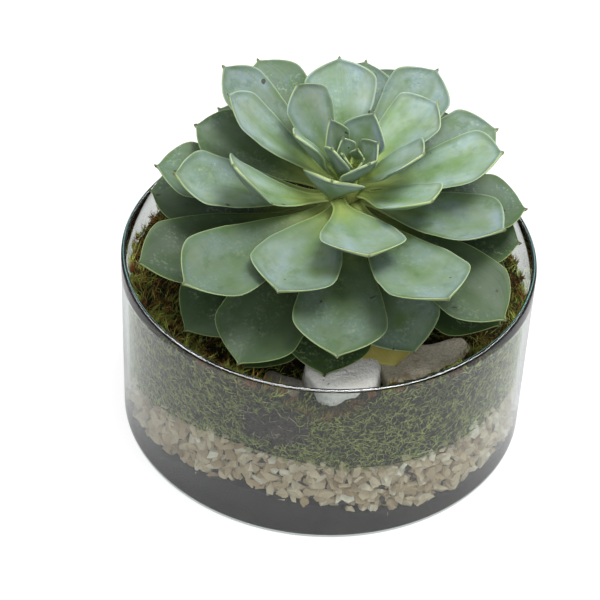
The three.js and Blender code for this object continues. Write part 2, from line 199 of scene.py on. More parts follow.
# The floor is white to look at. What the glass mirrors of it is pale up to a line in front of the dish, as
# from the edge of a sheet, and dull beyond.
floor_finish, tree, shader, place = new_finish("white_sweep")
set_finish(tree, shader, Roughness=0.9, Emission_Color=(1, 1, 1, 1))
seen = node(tree, "ShaderNodeLightPath").outputs["Is Camera Ray"]
forward_of = node(tree, "ShaderNodeSeparateXYZ", [place]).outputs[1]
pale = maths(tree, "MAXIMUM", seen, spread(tree, forward_of, DULL_FLOOR_BACK, PALE_FLOOR_FRONT))
glow = times(tree, pale, spread(tree, seen, 0, 1, FLOOR_GLOW, FLOOR_SEEN_GLOW))
tree.links.new(glow, shader.inputs["Emission Strength"])
tree.links.new(blend(tree, pale, srgb(60, 60, 60), srgb(140, 140, 140)), shader.inputs["Base Color"])
sweep = bpy.data.meshes.new("floor")
corners = [(-1, -1), (1, -1), (1, 1), (-1, 1)]
sweep.from_pydata([(FLOOR_HALF * x, FLOOR_HALF * y, 0) for x, y in corners], [], [(0, 1, 2, 3)])
sweep.materials.append(floor_finish)
floor = bpy.data.objects.new("floor", sweep)
scene.collection.objects.link(floor)
floor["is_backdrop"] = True

# The glass dish: one blown and fire-polished wall of soda glass with a rounded rim and a soft heel, faintly
# sea-green where it is looked through lengthwise.
DISH_RADIUS = 100
DISH_HEIGHT = 95
WALL = 2.5
GLASS_FLOOR = 0.5
HEEL = 0.8
FILLET = 0.5
FLARE = 1.8
FLARE_HEIGHT = 14
DISH_SIDES = 256
TAU = 2 * np.pi
MILLIMETRE = 0.001


def quads_between(rows, sides):
    """Four-cornered faces between stacked rings of the same number of points."""
    here = np.arange(sides)
    after = (here + 1) % sides
    start = (np.arange(rows - 1) * sides)[:, None]
    above = start + sides
    return np.stack([start + here, start + after, above + after, above + here], -1).reshape(-1, 4)


def closed_skin(rings):
    """A closed skin over stacked rings, rows x sides x 3: faces between them, and a fan over each end."""
    rows, sides = rings.shape[:2]
    here = np.arange(sides)
    after = (here + 1) % sides
    last = (rows - 1) * sides
    first_fan = np.stack([after, here, np.full(sides, rows * sides)], -1)
    last_fan = np.stack([last + here, last + after, np.full(sides, rows * sides + 1)], -1)
    points = np.concatenate([rings.reshape(-1, 3), [rings[0].mean(0), rings[-1].mean(0)]])
    return points, [*quads_between(rows, sides).tolist(), *first_fan.tolist(), *last_fan.tolist()]


def turned(profile, sides):
    """Rings of a turned shape from pairs of radius and height that go up the outside."""
    bearing = np.linspace(0, TAU, sides, endpoint=False)
    radius, height = (np.array(part)[:, None] for part in zip(*profile))
    return on_bearing(radius, bearing, height)


def on_bearing(radius, bearing, height):
    """Points at a radius, a bearing in radians (0 in front, a quarter turn at the right) and a height."""
    parts = radius * np.sin(bearing), -radius * np.cos(bearing), height + 0 * bearing
    return np.stack(np.broadcast_arrays(*parts), -1)


def piece(name, skin, finish, nodes=(), smooth=True, numbers=None):
    """Makes an object at the origin from points in millimetres and their faces, which rides on the plant's
    one body and stands for the CAD nodes named. numbers are values for each point that its finish reads."""
    points, faces = skin
    mesh = bpy.data.meshes.new(name)
    mesh.from_pydata((points * MILLIMETRE).tolist(), [], faces)
    mesh.materials.append(finish)
    for key, values in (numbers or {}).items():
        mesh.attributes.new(key, "FLOAT", "POINT").data.foreach_set("value", np.float32(values))
    mesh.polygons.foreach_set("use_smooth", np.full(len(mesh.polygons), smooth))
    mesh.update()
    made = bpy.data.objects.new(name, mesh)
    scene.collection.objects.link(made)
    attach(made, "root")
    if nodes:
        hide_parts(*nodes)


def arc(centre, radius, start, end, steps):
    """Points on a part of a circle in the profile's plane, from one angle in degrees to another."""
    angle = np.radians(np.linspace(start, end, steps))
    return np.stack([centre[0] + radius * np.cos(angle), centre[1] + radius * np.sin(angle)], -1).tolist()


def flare(height):
    """How much wider the inside is near the foot: FLARE at the floor, easing to nothing at FLARE_HEIGHT."""
    return FLARE * np.maximum(0, 1 - height / FLARE_HEIGHT) ** 2


glass, tree, shader, place = new_finish("dish_glass")
values = {"Roughness": 0.0, "IOR": 1.48, "Transmission_Weight": 1.0}
set_finish(tree, shader, Base_Color=(0.97, 0.99, 0.985, 1), **values)
path = node(tree, "ShaderNodeLightPath").outputs
passing = maths(tree, "MAXIMUM", path["Is Shadow Ray"], path["Is Diffuse Ray"])
clear = node(tree, "ShaderNodeBsdfTransparent", [(0.93, 0.96, 0.95, 1)]).outputs[0]
mixed = node(tree, "ShaderNodeMixShader", (passing, shader.outputs[0], clear)).outputs[0]
tree.links.new(mixed, tree.nodes["Material Output"].inputs["Surface"])
tint = node(tree, "ShaderNodeVolumeAbsorption", Color=(0.25, 0.78, 0.72, 1), Density=12.0).outputs[0]
tree.links.new(tint, tree.nodes["Material Output"].inputs["Volume"])

rim = WALL / 2
inner = DISH_RADIUS - WALL
dish_profile = [
    *[[r, 0] for r in (30, 60, 85)],
    *arc((DISH_RADIUS - HEEL, HEEL), HEEL, -90, 0, 12),
    *[[DISH_RADIUS, z] for z in (30, 50, 70, 85)],
    *arc((DISH_RADIUS - rim, DISH_HEIGHT - rim), rim, 0, 180, 12),
    *[[inner + flare(z), z] for z in (85, 70, 50, 30, 14, 12, 10, 8, 6, 4, 2.5, 1.5)],
    *arc((inner + flare(1.0) - FILLET, GLASS_FLOOR + FILLET), FILLET, 0, -90, 7),
    *[[r, GLASS_FLOOR] for r in (85, 60, 30)],
]
piece("dish", closed_skin(turned(dish_profile, DISH_SIDES)), glass, ["glass_dish"])

# Dark grit: fine basalt sand poured on the glass floor, heaped at the front left, and pressed against the
# glass so that its side is smooth with a faint speckle.
CLEARANCE = 0.3
FILL_RADIUS = DISH_RADIUS - WALL - CLEARANCE
SAND_RADIUS = FILL_RADIUS - 0.25
SAND_EDGE = FILL_RADIUS + flare(1.0)
SAND_WAVER = 0.5


def mound(bearing, centre, width):
    """A bell-shaped rise over the bearing, centred and as wide as given in degrees."""
    away = (np.degrees(bearing) - centre + 180) % 360 - 180
    return np.exp(-((away / width) ** 2))


def waver(bearing, turns, start=0.0):
    return np.sin(turns * bearing + np.radians(start))


def sand_top(radius, bearing):
    return 10 + 13.5 * mound(bearing, -19, 31) + 5 * mound(bearing, 150, 50)


def filled_layer(sides, radii, courses, bottom, top, wall):
    """Rings of a closed layer: out along the radii underneath, up the wall in level courses, where wall
    gives the radius from the bearing and the height, and back in over the top."""
    bearing = np.linspace(0, TAU, sides, endpoint=False)
    rings = [on_bearing(r, bearing, bottom(r, bearing)) for r in radii]
    for share in np.linspace(0, 1, courses):
        low, high = bottom(radii[-1], bearing), top(radii[-1], bearing)
        height = low + share * (high - low)
        rings.append(on_bearing(wall(bearing, height), bearing, height))
    rings += [on_bearing(np.minimum(r, wall(bearing, high)), bearing, top(r, bearing)) for r in radii[::-1]]
    return np.array(rings)


def noise(tree, vector, scale, detail=3.0, roughness=0.55):
    made = node(tree, "ShaderNodeTexNoise", Vector=vector, Scale=scale, Detail=detail, Roughness=roughness)
    return made.outputs[0]


def grit_group():
    """A group that speckles a colour: light and dark grains of the given size, and a height for a bump."""
    group = bpy.data.node_groups.new("grit_speckle", "ShaderNodeTree")
    for name, kind in (("Vector", "Vector"), ("Dark", "Color"), ("Light", "Color"), ("Scale", "Float")):
        group.interface.new_socket(name, in_out="INPUT", socket_type="NodeSocket" + kind)
    group.interface.new_socket("Color", in_out="OUTPUT", socket_type="NodeSocketColor")
    group.interface.new_socket("Height", in_out="OUTPUT", socket_type="NodeSocketFloat")
    given = group.nodes.new("NodeGroupInput").outputs
    fine = noise(group, given["Vector"], given["Scale"], 2.0, 0.7)
    broad = noise(group, given["Vector"], maths(group, "DIVIDE", given["Scale"], 12.0), 3.0)
    share = plus(group, times(group, fine, 0.75), times(group, broad, 0.35))
    result = group.nodes.new("NodeGroupOutput").inputs
    colour = blend(group, spread(group, share, 0.4, 0.75), given["Dark"], given["Light"])
    group.links.new(colour, result["Color"])
    group.links.new(fine, result["Height"])
    return group


speckle = grit_group()


def speckled(tree, place, dark, light, scale):
    values = {"Vector": place, "Dark": dark, "Light": light, "Scale": scale}
    return node(tree, "ShaderNodeGroup", node_tree=speckle, **values).outputs


def grainy_finish(name, dark, light, scale, depth, roughness, specular=0.5):
    """A material of light and dark grains of one size, with a bump of that depth in metres."""
    finish, tree, shader, place = new_finish(name)
    grains = speckled(tree, place, dark, light, scale)
    values = {"Base_Color": grains["Color"], "Roughness": roughness, "Specular_IOR_Level": specular}
    set_finish(tree, shader, grains["Height"], depth, **values)
    return finish


grit = grainy_finish("dark_grit", srgb(17, 14, 13), srgb(58, 52, 50), 900.0, 0.0004, 0.9, 0.2)
sand_radii = [30, 60, 80, SAND_EDGE - FILLET, SAND_RADIUS + flare(1.0)]


def sand_bottom(radius, bearing):
    return GLASS_FLOOR + CLEARANCE + np.maximum(0, radius - SAND_EDGE + FILLET) + 0 * bearing


def ragged_sand_top(radius, bearing):
    return sand_top(radius, bearing) + SAND_WAVER * waver(bearing, 23) + SAND_WAVER * waver(bearing, 41, 70)


def sand_wall(bearing, height):
    return SAND_RADIUS + flare(height)


rings = filled_layer(240, sand_radii, 12, sand_bottom, ragged_sand_top, sand_wall)
piece("sand", closed_skin(rings), grit, ["sand_layer"])

# Cream gravel: split marble chips tipped in over the grit, lying at all angles against the glass with dark
# gaps between, and a few stray ones pressed into the grit below.
CREAM_STOPS = [
    (0.0, (126, 104, 80)), (0.2, (164, 140, 110)), (0.5, (186, 164, 136)), (0.8, (204, 188, 164)),
    (1.0, (226, 220, 208)),
]
CHIP_CORNERS = 5
CHIP_SPACING = 5.3
CHIP_ROW_SPACING = 0.82 * CHIP_SPACING
CHIP_HALF = (3.2, 4.3, 6.0)
CHIP_OVAL = (0.4, 0.8)
CHIP_THICK = (1.3, 2.4)
CHIP_LEAN = 0.45
CHIP_DEPTHS = (0.0, 2.2)
STRAY_CHIPS = 0.13
GRAVEL_BED_RADIUS = 93.5
chips_random = np.random.default_rng(12)


def unit(vectors):
    return vectors / np.linalg.norm(vectors, axis=-1, keepdims=True)


def gravel_top(radius, bearing):
    return 40.5 + 3 * waver(bearing, 1) + 10 * mound(bearing, -25, 30) - 6 * mound(bearing, -74, 14)


def chip_places():
    """Bearings, heights and depths behind the glass, on jittered rows between the grit and the soil, one
    set of rows behind another, with stray chips just under the lower edge."""
    columns = int(TAU * FILL_RADIUS / CHIP_SPACING)
    sets = []
    for depth in CHIP_DEPTHS:
        row, column = np.mgrid[-1:14, 0:columns].reshape(2, -1)
        jitter = chips_random.uniform(-0.5, 0.5, (2, row.size))
        bearing = (column + 0.5 * (row % 2) + jitter[0]) / columns * TAU
        height = 8 + (row + jitter[1]) * CHIP_ROW_SPACING
        low, high = sand_top(0, bearing), gravel_top(0, bearing)
        stray = chips_random.uniform(0, 1, row.size) < STRAY_CHIPS
        keep = (height > low + 0.4 - 3.5 * stray) & (height < high + 0.6)
        sets.append(np.stack([bearing, height, np.full(row.size, depth)])[:, keep])
    return np.concatenate(sets, 1)


def chips(bearing, height, depth):
    """Five-cornered plates: corner k of a plate lies at angle k/5 of a turn with its own jitter, on an oval
    of random size, on the under face and, drawn in a little, on the upper one. Each plate is tipped up to
    about 60 degrees from flat on the glass, spun, and moved in until it stands clear of the glass."""
    count = bearing.size
    corner = np.arange(CHIP_CORNERS) + chips_random.uniform(-0.36, 0.36, (count, CHIP_CORNERS))
    angle = corner * TAU / CHIP_CORNERS
    half = chips_random.triangular(*CHIP_HALF, (count, 1))
    oval = chips_random.uniform(*CHIP_OVAL, (count, 1))
    reach = half * chips_random.uniform(0.72, 1.12, (count, CHIP_CORNERS))
    flat = np.stack([reach * np.cos(angle), oval * reach * np.sin(angle)], -1)
    thick = chips_random.uniform(*CHIP_THICK, (count, 1, 1))
    drawn = flat * chips_random.uniform(0.86, 1.0, (count, 1, 1))
    drawn = drawn + chips_random.uniform(-0.3, 0.3, (count, 1, 2))
    rise = chips_random.uniform(-0.12, 0.12, (count, CHIP_CORNERS, 1))
    under = np.concatenate([flat, -thick / 2 + 0 * rise], -1)
    upper = np.concatenate([drawn, thick / 2 + rise], -1)
    local = np.concatenate([under, upper], 1)
    out = on_bearing(1.0, bearing, 0.0)
    along = on_bearing(1.0, bearing + TAU / 4, 0.0)
    lean = chips_random.normal(0, CHIP_LEAN, (2, count, 1))
    normal = unit(out + lean[0] * along + (lean[1] + 0.25) * np.array([0, 0, 1]))
    spin = chips_random.uniform(0, TAU, (count, 1))
    first = unit(np.cross(normal, along * np.cos(spin) + np.array([0, 0, 1]) * np.sin(spin)))
    axes = np.stack([first, np.cross(normal, first), normal], 1)
    centre = on_bearing(FILL_RADIUS, bearing, height)
    points = centre[:, None] + local @ axes
    past = np.linalg.norm(points[..., :2], axis=-1).max(1) - (FILL_RADIUS - 0.02 - depth)
    points -= past[:, None, None] * out[:, None]
    return points


def repeated(shape, count, points_each):
    """The faces of many like pieces, from those of one, given as lists of corners."""
    start = np.arange(count)[:, None] * points_each
    return [face for part in shape for face in (start + np.array(part)).tolist()]


def chip_faces(count):
    ring = np.arange(CHIP_CORNERS)
    after = (ring + 1) % CHIP_CORNERS
    shape = [ring[::-1].tolist(), (ring + CHIP_CORNERS).tolist()]
    shape += np.stack([ring, after, after + CHIP_CORNERS, ring + CHIP_CORNERS], -1).tolist()
    return repeated(shape, count, 2 * CHIP_CORNERS)


def reading(tree, name):
    """A number that the mesh carries at each of its points."""
    return node(tree, "ShaderNodeAttribute", attribute_name=name).outputs["Fac"]


def toned(tree, stops):
    """The colour at the mesh's tone, from stops of a position from 0 to 1 and a colour."""
    ramp = node(tree, "ShaderNodeValToRGB", [reading(tree, "tone")])
    while len(ramp.color_ramp.elements) < len(stops):
        ramp.color_ramp.elements.new(0.5)
    for element, (position, colour) in zip(ramp.color_ramp.elements, stops):
        element.position = position
        element.color = srgb(*colour)
    return ramp.outputs[0]


marble, tree, shader, place = new_finish("cream_gravel")
cream = toned(tree, CREAM_STOPS)
clouds = noise(tree, place, 260.0, 4.0, 0.6)
stained = blend(tree, spread(tree, clouds, 0.35, 0.75, 0.0, 0.45), cream, srgb(168, 140, 106))
rough = noise(tree, place, 900.0, 3.0)
set_finish(tree, shader, rough, 0.0005, Base_Color=stained, Roughness=0.75, Specular_IOR_Level=0.3)

bearing, height, depth = chip_places()
points = chips(bearing, height, depth)
chip_tone = np.repeat(chips_random.beta(2.2, 1.8, len(points)), 2 * CHIP_CORNERS)
chip_skin = points.reshape(-1, 3), chip_faces(len(points))
piece("gravel_chips", chip_skin, marble, smooth=False, numbers={"tone": chip_tone})

# The bed behind the chips is painted dark: painted shade for the gaps between them, where more gravel would
# lie in shadow.
gaps = grainy_finish("gravel_gap_painted_shade", srgb(34, 29, 24), srgb(96, 82, 66), 320.0, 0.002, 0.95)
rings = filled_layer(
    160, [30, 60, 85, GRAVEL_BED_RADIUS], 6,
    lambda radius, bearing: sand_top(radius, bearing) + 2 * CLEARANCE + 0.8,
    lambda radius, bearing: gravel_top(radius, bearing) - 0.5,
    lambda bearing, height: GRAVEL_BED_RADIUS,
)
piece("gravel_bed", closed_skin(rings), gaps, ["gravel_layer"])

# Potting soil: dark peat heaped over the gravel under the moss. It shows bare in one patch low against the
# front of the glass, a little left of the middle.
PATCH_BEARING = -12
PATCH_HEIGHT = 66
PATCH_HALF_WIDTH = 20
PATCH_HALF_HEIGHT = 13.5
PATCH_RISE = 17
SOIL_LEVEL = 62
SOIL_RADIUS = 86
SOIL_PATCH_RADIUS = FILL_RADIUS - 0.3


def ripples(points, size, seed, waves=7):
    """Soft unevenness, mostly from -1 to 1: a scaled sum of sine waves of about the given length that run
    in random directions."""
    random = np.random.default_rng(seed)
    direction = random.normal(size=(waves, 3))
    direction *= (TAU / size / np.linalg.norm(direction, axis=1) * random.uniform(0.7, 1.5, waves))[:, None]
    return np.sin(points @ direction.T + random.uniform(0, TAU, waves)).sum(-1) / waves ** 0.5 / 1.4


def patch_share(bearing, height):
    """1 in the middle of the bare patch and 0 outside it: 1.4 less 1.4 times the squares of the shares of
    the half width and half height, plus three sine waves that make its edge ragged."""
    across = ((np.degrees(bearing) + 180) % 360 - 180 - PATCH_BEARING) * np.radians(FILL_RADIUS)
    up = height - PATCH_HEIGHT
    ragged = 0.3 * np.sin(across * 0.9 + 1) + 0.25 * np.sin(up * 1.3 + across * 0.4)
    ragged = ragged + 0.2 * np.sin(2.1 * across - 0.8 * up)
    oval = 1.4 - 1.4 * (across / PATCH_HALF_WIDTH) ** 2 - 1.4 * (up / PATCH_HALF_HEIGHT) ** 2
    return np.clip(oval + ragged, 0, 1)


def smooth_step(value, low, high):
    share = np.clip((value - low) / (high - low), 0, 1)
    return share * share * (3 - 2 * share)


def soil_top(radius, bearing):
    """The soil's height: nearly level, sinking toward the glass, but up to the moss over the patch."""
    level = SOIL_LEVEL + 1.5 * waver(bearing, 3, 4 * radius) - 3 * smooth_step(radius, 60, SOIL_RADIUS)
    return level + PATCH_RISE * patch_share(bearing, PATCH_HEIGHT) * (radius > 80)


def soil_wall(bearing, height):
    return SOIL_RADIUS + (SOIL_PATCH_RADIUS - SOIL_RADIUS) * patch_share(bearing, height) ** 0.35


peat = grainy_finish("potting_soil", srgb(30, 25, 21), srgb(92, 80, 70), 700.0, 0.0025, 0.95, 0.15)
rings = filled_layer(
    360, [30, 60, 75, SOIL_RADIUS], 34,
    lambda radius, bearing: gravel_top(radius, bearing) + CLEARANCE,
    soil_top, soil_wall,
)
rings[..., :2] *= (1 - 0.004 * np.abs(ripples(rings, 3.5, 5)))[..., None]
piece("soil_mass", closed_skin(rings), peat, ["soil"])

# Moss: a living mat laid over the soil and tucked up against the glass all round, of fine curved strands 2 to
# 7 mm long over a dark felted base, with rusty dead strands on its top. The base's dark is partly its own and
# partly painted shade for the gaps between the strands.
MOSS_STOPS = [
    (0.0, (112, 64, 30)), (0.2, (132, 100, 48)), (0.4, (88, 94, 36)), (0.7, (138, 152, 64)),
    (1.0, (196, 200, 108)),
]
MOSS_LEVEL = 71.5
MAT_RADIUS = 94.6
MAT_TOP_RADIUS = 96.4
WALL_STRANDS = 19000
TOP_STRANDS = 19000
STRAND_SHARES = (0.0, 0.5)
moss_random = np.random.default_rng(31)


def moss_edge(bearing):
    """The height of the moss at the glass, lower in front of the pebbles and at both sides."""
    sides = 7 * mound(bearing, -108, 30) + 16 * mound(bearing, 96, 30) + 6 * mound(bearing, 180, 50)
    return 90.5 - 16.5 * mound(bearing, 1, 11) - sides + 1.5 * waver(bearing, 5, 40)


def moss_top(radius, bearing):
    level = MOSS_LEVEL + (moss_edge(bearing) - MOSS_LEVEL) * smooth_step(radius, 72, 96)
    tuft = ripples(on_bearing(radius + 0 * bearing, bearing, 0.0), 9, 3) * 1.3
    return level + tuft * np.clip(radius / 60, 0, 1) - 1.2


def strands(root, toward, sweep, length, width):
    """Tapered three-sided strands: the middle line at share t is root + length (t toward + t² sweep), and
    the ring there is a triangle of that width times 1 - 0.7 t, square to toward. They end in a point."""
    side = unit(np.cross(toward, sweep + np.array([1e-3, 2e-3, 3e-3])))
    other = np.cross(toward, side)
    share = np.array(STRAND_SHARES)[None, :, None, None]
    corner = (np.arange(3) * TAU / 3)[None, None, :, None]
    reach = width[:, None, None, None] / 2 * (1 - 0.7 * share)
    long = length[:, None, None, None]
    middle = root[:, None, None] + long * (share * toward[:, None, None] + share ** 2 * sweep[:, None, None])
    rings = middle + reach * (np.cos(corner) * side[:, None, None] + np.sin(corner) * other[:, None, None])
    tip = root + length[:, None] * (toward + sweep)
    return np.concatenate([rings.reshape(len(root), -1, 3), tip[:, None]], 1)


def strand_faces(count):
    """Corner lists of many strands: a foot, a course of three sides and three faces to the tip."""
    rows = len(STRAND_SHARES)
    last = 3 * (rows - 1)
    point = [[last + k, last + (k + 1) % 3, 3 * rows] for k in range(3)]
    shape = [[2, 1, 0], *quads_between(rows, 3).tolist(), *point]
    return repeated(shape, count, 3 * rows + 1)


def on_glass(flat, gap):
    """Points laid out flat, wrapped round the fill, and kept that gap in from its side."""
    return on_bearing(FILL_RADIUS + np.minimum(flat[..., 2], -gap), flat[..., 0] / FILL_RADIUS, flat[..., 1])


# The mat's base colour: partly the felted base's own dark, partly painted shade that shows in the gaps
# between strands.
felt_and_gap_shade = grainy_finish("moss_felt_and_painted_shade", srgb(18, 16, 10), srgb(56, 54, 26), 420.0, 0.003, 1.0, 0.1)
rings = filled_layer(
    240, [30, 50, 60, 68, 75, 81, 86, 90, MAT_TOP_RADIUS - 3, MAT_TOP_RADIUS], 20,
    lambda radius, bearing: gravel_top(radius, bearing) + 2 * CLEARANCE,
    moss_top,
    lambda bearing, height: MAT_RADIUS - 7 * (patch_share(bearing, height) > 0.02),
)
piece("moss_mat", closed_skin(rings), felt_and_gap_shade, ["moss"])

green, tree, shader, place = new_finish("moss_strands")
shade = spread(tree, reading(tree, "along"), 0.0, 0.6, 0.55, 0.0)
shaded = blend(tree, shade, toned(tree, MOSS_STOPS), srgb(22, 22, 8))
set_finish(tree, shader, Base_Color=shaded, Roughness=0.8, Specular_IOR_Level=0.2)


def moss_piece(name, points, tone):
    """One object from the points of many strands, with the tone and the share of the length at each."""
    skin = points.reshape(-1, 3), strand_faces(len(points))
    along = [*np.repeat(STRAND_SHARES, 3), 1]
    numbers = {"tone": np.repeat(np.clip(tone, 0, 1), len(along)), "along": np.tile(along, len(points))}
    piece(name, skin, green, smooth=False, numbers=numbers)


# The strands that lie against the glass are laid out flat, as the way round, the height and the depth in
# from the glass, and then wrapped round it.
count = WALL_STRANDS
bearing = moss_random.uniform(0, TAU, count)
low, high = gravel_top(0, bearing) - 1.5, moss_edge(bearing) - 2
height = low + (high - low) * moss_random.uniform(0, 1, count) ** 1.15
spot = on_bearing(FILL_RADIUS, bearing, height)
clump = ripples(spot, 8, 17)
keep = moss_random.uniform(0, 1, count) > patch_share(bearing, height) * 1.25
keep &= ripples(spot, 4.5, 23) > -0.6
bearing, height, clump = bearing[keep], height[keep], clump[keep]
count = bearing.size
depth = moss_random.uniform(0.3, 1.9, count)
angle = moss_random.normal(TAU / 4, 1.2, count)
toward = np.stack([np.cos(angle), np.sin(angle), moss_random.normal(0, 0.06, count)], -1)
curl = moss_random.normal(0, 0.45, count)
sweep = np.stack([-np.sin(angle) * curl, np.cos(angle) * curl, moss_random.normal(0, 0.08, count)], -1)
length = moss_random.uniform(1.6, 4.6, count)
width = moss_random.uniform(0.2, 0.42, count)
root = np.stack([bearing * FILL_RADIUS, height, -depth], -1)
points = on_glass(strands(root, unit(toward), sweep, length, width), 0.1)
wall_tone = moss_random.normal(0.82, 0.17, count) + 0.2 * clump - 0.15 * smooth_step(height, 66, 84)
moss_piece("moss_on_glass", points, wall_tone)

# The strands on top lean every way in combed tufts, denser and longer toward the glass, and short in front.
count = TOP_STRANDS
radius = np.minimum(97 - 82 * moss_random.uniform(0, 1, count) ** 1.7, 95.5)
bearing = moss_random.uniform(0, TAU, count)
root = on_bearing(radius, bearing, moss_top(radius, bearing) - 0.6)
keep = ripples(root, 7, 41) > -0.45
root, bearing = root[keep], bearing[keep]
count = bearing.size
combed = 3 * ripples(root, 16, 47) - bearing
toward = np.stack([0.75 * np.cos(combed), 0.75 * np.sin(combed), 0.75 + 0 * combed], -1)
toward = unit(toward + moss_random.normal(0, 0.3, (count, 3)))
sweep = moss_random.normal(0, 0.3, (count, 3)) * np.array([1, 1, 0.5])
length = moss_random.uniform(2.5, 7.0, count) * (1 - 0.55 * mound(bearing, 14, 26))
points = strands(root, toward, sweep, length, moss_random.uniform(0.3, 0.6, count))
reach = np.linalg.norm(points[..., :2], axis=-1, keepdims=True)
points[..., :2] *= np.minimum(1, (FILL_RADIUS - 0.1) / reach)
top_tone = 0.42 + 0.55 * ripples(root, 17, 9) + moss_random.normal(0, 0.15, count)
moss_piece("moss_on_top", points, top_tone)

# Root hairs: a few dozen thin pale roots of the plant that wander over the bare patch of soil, pressed
# against the glass by it.
ROOT_HAIRS = 46
hair_random = np.random.default_rng(63)
hairs, tree, shader, place = new_finish("root_hairs")
set_finish(tree, shader, Base_Color=srgb(170, 154, 132), Roughness=0.7)
angle = hair_random.uniform(0, TAU, ROOT_HAIRS)
middle = np.radians(PATCH_BEARING) * FILL_RADIUS
across = middle + PATCH_HALF_WIDTH * hair_random.uniform(-0.8, 0.8, ROOT_HAIRS)
up = PATCH_HEIGHT + PATCH_HALF_HEIGHT * hair_random.uniform(-0.8, 0.7, ROOT_HAIRS)
toward = np.stack([np.cos(angle), np.sin(angle), 0 * angle], -1)
sweep = np.stack([-np.sin(angle), np.cos(angle), 0 * angle], -1)
sweep = sweep * hair_random.normal(0, 0.5, (ROOT_HAIRS, 1))
length, width = hair_random.uniform(2, 6, ROOT_HAIRS), hair_random.uniform(0.14, 0.3, ROOT_HAIRS)
points = on_glass(strands(np.stack([across, up, 0 * up - 0.15], -1), toward, sweep, length, width), 0.02)
piece("root_hairs", (points.reshape(-1, 3), strand_faces(ROOT_HAIRS)), hairs, smooth=False)

# Pebbles: three tumbled marble blocks half sunk in the moss, a white one in front, a stained beige one at
# the right and a grey-brown one at the left, with rounded edges, broad flats and a fine sugary grain.
STONE_GRID = (64, 96)
BLUNTNESS = 9


def spun(points, degrees):
    """Points turned about the vertical through the origin."""
    x, y, z = np.moveaxis(points, -1, 0)
    cos, sin = np.cos(np.radians(degrees)), np.sin(np.radians(degrees))
    return np.stack([x * cos - y * sin, x * sin + y * cos, z], -1)


def blunted_block(planes, at, turn_degrees, seed):
    """A block with rounded edges: the reach in direction u is (sum of (u·n/d)^p over the flats that face
    it) to the power -1/p, for flats with normal n at distance d, made uneven by soft ripples."""
    rows, sides = STONE_GRID
    tilt = np.linspace(0, np.pi, rows + 2)[1:-1, None]
    around = np.linspace(0, TAU, sides, endpoint=False)[None]
    parts = np.sin(tilt) * np.cos(around), np.sin(tilt) * np.sin(around), -np.cos(tilt) + 0 * around
    direction = np.stack(parts, -1)
    normals = np.array([plane[:3] for plane in planes], float)
    facing = np.maximum(direction @ unit(normals).T / np.array([plane[3] for plane in planes]), 0)
    reach = (facing ** BLUNTNESS).sum(-1) ** (-1 / BLUNTNESS)
    reach *= 1 + 0.035 * ripples(direction, 1.1, seed) + 0.012 * ripples(direction, 0.35, seed + 1)
    return reach[..., None] * spun(direction, turn_degrees) + np.array(at)


def stone_finish(name, dark, light, stain, stain_share):
    finish, tree, shader, place = new_finish(name)
    grains = speckled(tree, place, dark, light, 850.0)
    patches = spread(tree, noise(tree, place, 90.0, 4.0, 0.6), 0.5, 0.75, 0.0, stain_share)
    specks = spread(tree, noise(tree, place, 520.0, 1.0), 0.7, 0.76, 0.0, 0.6)
    colour = blend(tree, specks, blend(tree, patches, grains["Color"], stain), srgb(70, 64, 56))
    set_finish(
        tree, shader, grains["Height"], 0.0006, Base_Color=colour, Roughness=0.8, Specular_IOR_Level=0.25
    )
    return finish


white_stone = stone_finish("white_stone", srgb(222, 220, 215), srgb(250, 249, 246), srgb(206, 194, 170), 0.35)
stained_stone = stone_finish(
    "stained_stone", srgb(156, 149, 130), srgb(206, 199, 182), srgb(104, 86, 52), 0.85
)
grey_stone = stone_finish("grey_stone", srgb(92, 88, 80), srgb(126, 120, 112), srgb(84, 74, 58), 0.5)

# Each pebble: where it lies, its material slot and finish, its middle, its turn, its seed, and its flats,
# each as a direction and a distance.
PEBBLES = [
    ("front", "white_stone", white_stone, (9.5, -72, 73.5), -8, 1, [
        (0, 0, 1, 8.4), (0, 0, -1, 9), (1, 0, 0.1, 17), (-1, 0, 0.1, 19), (0, -1, 0.15, 13.5), (0, 1, 0, 14),
        (-1, -1.1, 0, 15),
    ]),
    ("right", "white_stone", stained_stone, (50.5, -56.5, 69.8), 24, 4, [
        (0, 0, 1, 8.8), (0, 0, -1, 8.6), (1, 0, 0.2, 22), (-1, 0, 0.1, 25.5), (0, -1, 0.3, 13.5),
        (0, 1, 0.2, 13), (0.8, -1, 0, 19.5),
    ]),
    ("left", "grey_stone", grey_stone, (-19.5, -79.5, 71), -20, 7, [
        (0, 0, 1, 7.6), (0, 0, -1, 9.5), (1, 0, 0, 10), (-1, 0, 0.1, 10), (0, -1, 0.2, 8.2), (0, 1, 0, 8.2),
    ]),
]
for side, slot, finish, middle, turn_degrees, seed, flats in PEBBLES:
    rings = blunted_block(flats, middle, turn_degrees, seed)
    piece(f"pebble_{side}", closed_skin(rings), finish, [f"stone_{side}"])

# The stem: a short woody stem that rises from the soil under the rosette, ringed by the scars of shed
# leaves, and green where the youngest leaves still grow.
CROWN = np.array([4, 10, 115])
CROWN_TILT = np.radians(18)
CROWN_HEIGHT = 33
CROWN_LEAN = 5.5
STEM_RADII = (9.5, 3.5)
STEM_BULGE = 3.5
STEM_HEIGHTS = (-58, 25.7)
SCAR_SPACING = 3.2


def from_crown(points):
    """Points in the crown's own frame, growing axis up, put in the dish's frame: tipped back, and moved."""
    x, y, z = np.moveaxis(points, -1, 0)
    level = y * np.cos(CROWN_TILT) - z * np.sin(CROWN_TILT)
    up = y * np.sin(CROWN_TILT) + z * np.cos(CROWN_TILT)
    return np.stack([x, level, up], -1) + CROWN


def stem_radius(height):
    return STEM_RADII[0] + (STEM_RADII[1] - STEM_RADII[0]) * np.clip(height / CROWN_HEIGHT, 0, 1)


def lean_at(height):
    return CROWN_LEAN * np.maximum(height, 0) / CROWN_HEIGHT


